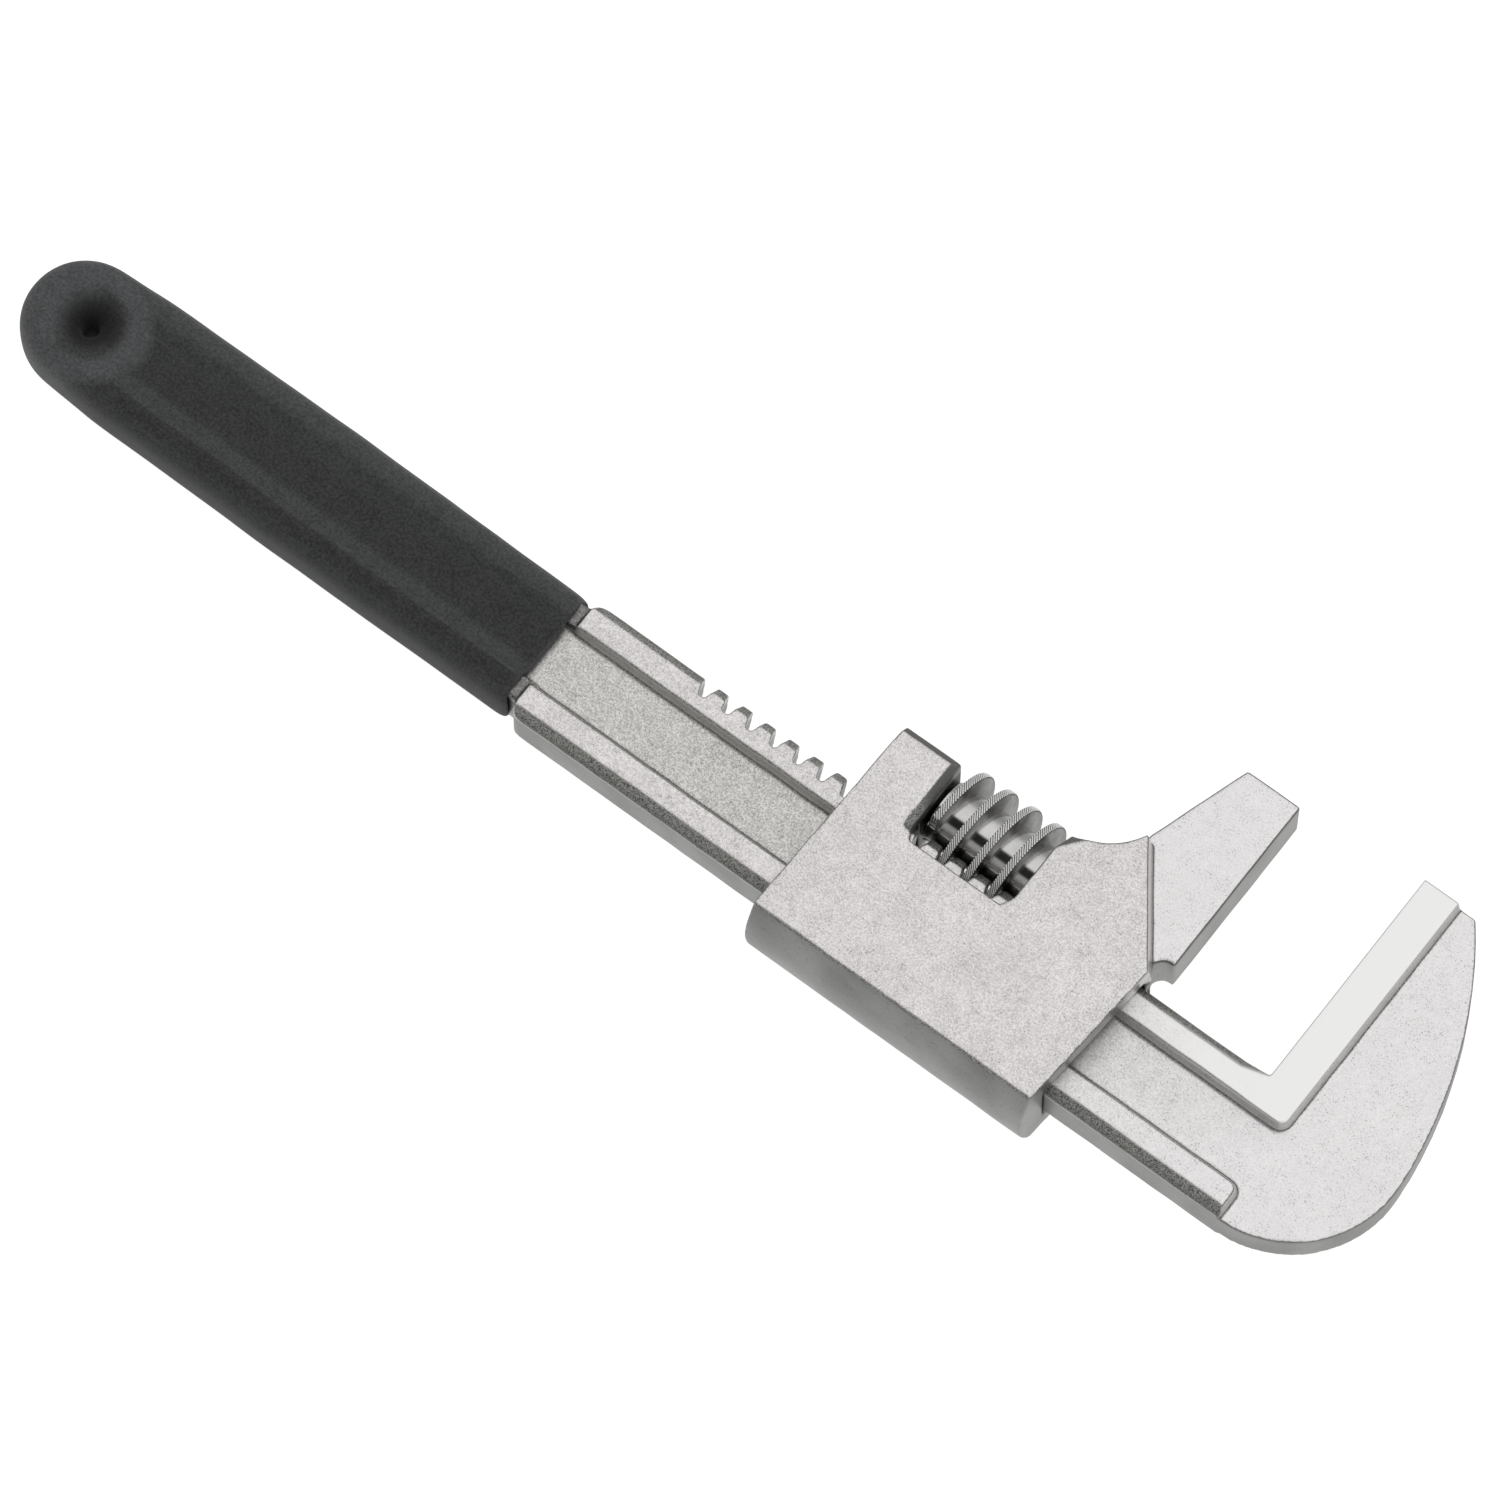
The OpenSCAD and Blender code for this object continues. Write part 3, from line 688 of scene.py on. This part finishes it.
def thread_rings(start, end):
    """Sections across the ridge of the thread. It fades into the hub at both ends."""
    phase = worm_phase()
    run = (end - start) / PITCH
    steps = int(run * SERRATIONS * STEPS_PER_SERRATION)
    sunk = HUB_R - THREAD_SUNK
    edge = CREST_W / 2 - CREST_BEVEL
    rings = []
    for i in range(steps + 1):
        t = i / steps
        x = start + (end - start) * t
        turns = x / PITCH + phase / (2 * math.pi)
        rise = min(1, min(t, 1 - t) * run / THREAD_FADE)
        rise = rise * rise * (3 - 2 * rise)
        top = sunk + THREAD_START + (CREST_R - sunk - THREAD_START) * rise
        side = [
            (BASE_W / 2, sunk),
            (BASE_W / 2 - FOOT_INSET, min(top, HUB_R + FOOT_RISE)),
            (CREST_W / 2 + NECK_OUTSET, top - NECK_DROP * rise),
            (CREST_W / 2, top - CREST_BEVEL),
        ]
        crest = []
        for k in range(CREST_POINTS):
            across = edge * (1 - 2 * k / (CREST_POINTS - 1))
            crest.append((across, top - SERRATION_DEPTH * rise * serration(turns, across)))
        section = side + crest + [(-across, r) for across, r in reversed(side)]
        angle = 2 * math.pi * turns
        rings.append([(x + across, -r * math.cos(angle), r * math.sin(angle)) for across, r in section])
    return rings


def make_worm():
    low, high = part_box("adjusting_worm")
    spring_low, spring_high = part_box("worm_spring")
    pocket_r = (spring_high.z - spring_low.z) / 2 + 0.3 * MM
    pocket_end = spring_high.x + 0.2 * MM
    edge = HUB_EDGE
    hub = add_object("worm_with_serrated_thread", turned("worm", [
        (low.x, pocket_r + edge),
        (low.x, HUB_R - edge),
        (low.x + edge, HUB_R),
        (high.x - edge, HUB_R),
        (high.x, HUB_R - edge),
        (high.x, WORM_BORE_R + edge),
        (high.x - edge, WORM_BORE_R),
        (pocket_end, WORM_BORE_R),
        (pocket_end, pocket_r),
        (low.x + edge, pocket_r),
    ], HUB_SEGMENTS))
    margin = BASE_W / 2 + 0.4 * MM
    rings = thread_rings(low.x + margin, high.x - margin)
    combine(hub, add_object("thread", swept("thread", rings)), "UNION")
    hub.data.transform(Matrix.Translation((0, WORM_AXIS.y, WORM_AXIS.z)))
    sharpen(hub, 28)
    settle(hub, "worm", polished_steel("worm_steel"), "polished_steel", "adjusting_worm")


def make_pin():
    low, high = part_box("worm_pin")
    head_r = (high.z - low.z) / 2
    edge = PIN_EDGE
    pin = add_object("slotted_pin", turned("pin", [
        (low.x, 0.01 * MM),
        (low.x, head_r - edge),
        (low.x + edge, head_r),
        (low.x + PIN_HEAD - HEAD_EDGE, head_r),
        (low.x + PIN_HEAD, head_r - HEAD_EDGE),
        (low.x + PIN_HEAD, PIN_R),
        (high.x - edge, PIN_R),
        (high.x, PIN_R - edge),
        (high.x, 0.01 * MM),
    ], PIN_SEGMENTS))
    slot = add_object("slot", mesh_box(
        (low.x - 1 * MM, -SLOT_HALF, -2 * head_r), (low.x + SLOT_DEPTH, SLOT_HALF, 2 * head_r)))
    combine(pin, slot, "DIFFERENCE")
    pin.data.transform(Matrix.Translation((0, WORM_AXIS.y, WORM_AXIS.z)))
    sharpen(pin, 30)
    material = oiled_steel("pin_steel", PIN_DARK, PIN_LIGHT)
    settle(pin, "slider", material, "pin_steel", "worm_pin")


def make_spring():
    low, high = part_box("worm_spring")
    coil_r = (high.z - low.z) / 2 - WIRE_R
    run = high.x - low.x - 2 * WIRE_R
    rings = []
    for i in range(COILS * STEPS_PER_COIL + 1):
        turn = i / STEPS_PER_COIL
        share = min(1, max(0, (turn - 1) / (COILS - 2)))
        angle = 2 * math.pi * turn
        x = low.x + WIRE_R + run * share
        ring = []
        for j in range(WIRE_SIDES):
            a = -2 * math.pi * j / WIRE_SIDES
            r = coil_r + WIRE_R * math.cos(a)
            y, z = WORM_AXIS.y + r * math.cos(angle), WORM_AXIS.z + r * math.sin(angle)
            ring.append((x + WIRE_R * math.sin(a), y, z))
        rings.append(ring)
    spring = add_object("coil_spring", swept("spring", rings))
    sharpen(spring, 60)
    material = oiled_steel("spring_wire", WIRE_DARK, WIRE_LIGHT)
    settle(spring, "slider", material, "spring_steel", "worm_spring")


# ---- Stage and light ----

FLOOR_TONE, FLOOR_GLOW = (0.22, 0.22, 0.22), 0.955
FLOOR_REACH = 12


def add_floor():
    """A glowing pale floor just under the wrench, which polished faces do not reflect."""
    material, g = new_material("pale_floor")
    g.finish(
        Base_Color=FLOOR_TONE,
        Roughness=0.9,
        Emission_Color=(1, 1, 1),
        Emission_Strength=FLOOR_GLOW,
    )
    reach, z = FLOOR_REACH, cad_low.z
    corners = [(-reach, -reach, z), (reach, -reach, z), (reach, reach, z), (-reach, reach, z)]
    floor = add_object("floor", mesh_from("floor", corners, [(0, 1, 2, 3)]))
    floor.data.materials.append(material)
    floor.visible_glossy = False


# Brightness of the surroundings by height, from below (0) through the horizon (0.5) to overhead (1).
SKY = [
    (0.0, 0.62),
    (0.30, 0.50),
    (0.46, 0.36),
    (0.60, 0.34),
    (0.70, 0.40),
    (0.84, 0.76),
    (0.92, 0.84),
    (1.0, 0.88),
]
SKY_STRENGTH = 1.24

# A black screen high on the side away from the open jaws, with a dimmer sky beyond it. It draws the dark
# lines along polished steel. Its limits are parts of a direction whose length is 1.
SCREEN_LEFT, SCREEN_RIGHT = (-0.66, -0.50), (0.36, 0.16)
SCREEN_BOTTOM = 0.3, 0.45
BLACK_NEAR, BLACK_FAR = (-0.08, -0.22), (-0.72, -0.60)
DIM_FROM = -0.52, -0.66
BLACK_STRENGTH, DIM_SHARE = 0.03, 0.5


def add_sky():
    world = bpy.data.worlds.new("studio")
    world.use_nodes = True
    bpy.context.scene.world = world
    g = Graph(world.node_tree)
    direction = g.node("TexCoord").outputs["Generated"]
    spot = g.split(direction)
    height = spot["Z"]
    ramp = g.node("ValToRGB", {"Fac": g.mixture((height, 0.5), (1.0, 0.5))})
    ramp.color_ramp.interpolation = "EASE"
    stops = ramp.color_ramp.elements
    for i, (place, value) in enumerate(SKY):
        stop = stops[i] if i < len(stops) else stops.new(place)
        stop.position = place
        stop.color = (value, value, value, 1)
    screen = g.product(
        g.step(spot["X"], *SCREEN_LEFT),
        g.step(spot["X"], *SCREEN_RIGHT),
        g.step(height, *SCREEN_BOTTOM),
    )
    black = g.product(g.step(spot["Y"], *BLACK_NEAR), g.step(spot["Y"], *BLACK_FAR), screen)
    dim = g.product(g.step(spot["Y"], *DIM_FROM), screen)
    strength = g.product(g.lerp(black, SKY_STRENGTH, BLACK_STRENGTH), g.lerp(dim, 1.0, DIM_SHARE))
    shader = g.node("Background", {"Color": ramp.outputs["Color"], "Strength": strength})
    out = g.node("OutputWorld")
    g.tree.links.new(shader.outputs[0], out.inputs["Surface"])


LAMP_OFFSET = Vector((-0.5, 0.75, 1.5))
LAMP_WIDTH, LAMP_HEIGHT, LAMP_POWER = 0.9, 0.6, 1.5


def add_lamp(name, place, aim, width, height, power):
    """A rectangular lamp that lights matt surfaces and is not seen in polished ones."""
    data = bpy.data.lights.new(name, "AREA")
    data.shape = "RECTANGLE"
    data.size = width
    data.size_y = height
    data.energy = power
    lamp = bpy.data.objects.new(name, data)
    bpy.context.scene.collection.objects.link(lamp)
    lamp.location = place
    lamp.rotation_mode = "QUATERNION"
    lamp.rotation_quaternion = (Vector(aim) - Vector(place)).to_track_quat("-Z", "Y")
    lamp.visible_glossy = False


add_camera()
add_floor()
add_sky()
middle = (cad_low + cad_high) / 2
add_lamp("key", middle + LAMP_OFFSET, middle, LAMP_WIDTH, LAMP_HEIGHT, LAMP_POWER)
scene = bpy.context.scene
scene.view_settings.view_transform = "Standard"
scene.view_settings.look = "None"

make_forgings()
make_grip()
make_worm()
make_pin()
make_spring()
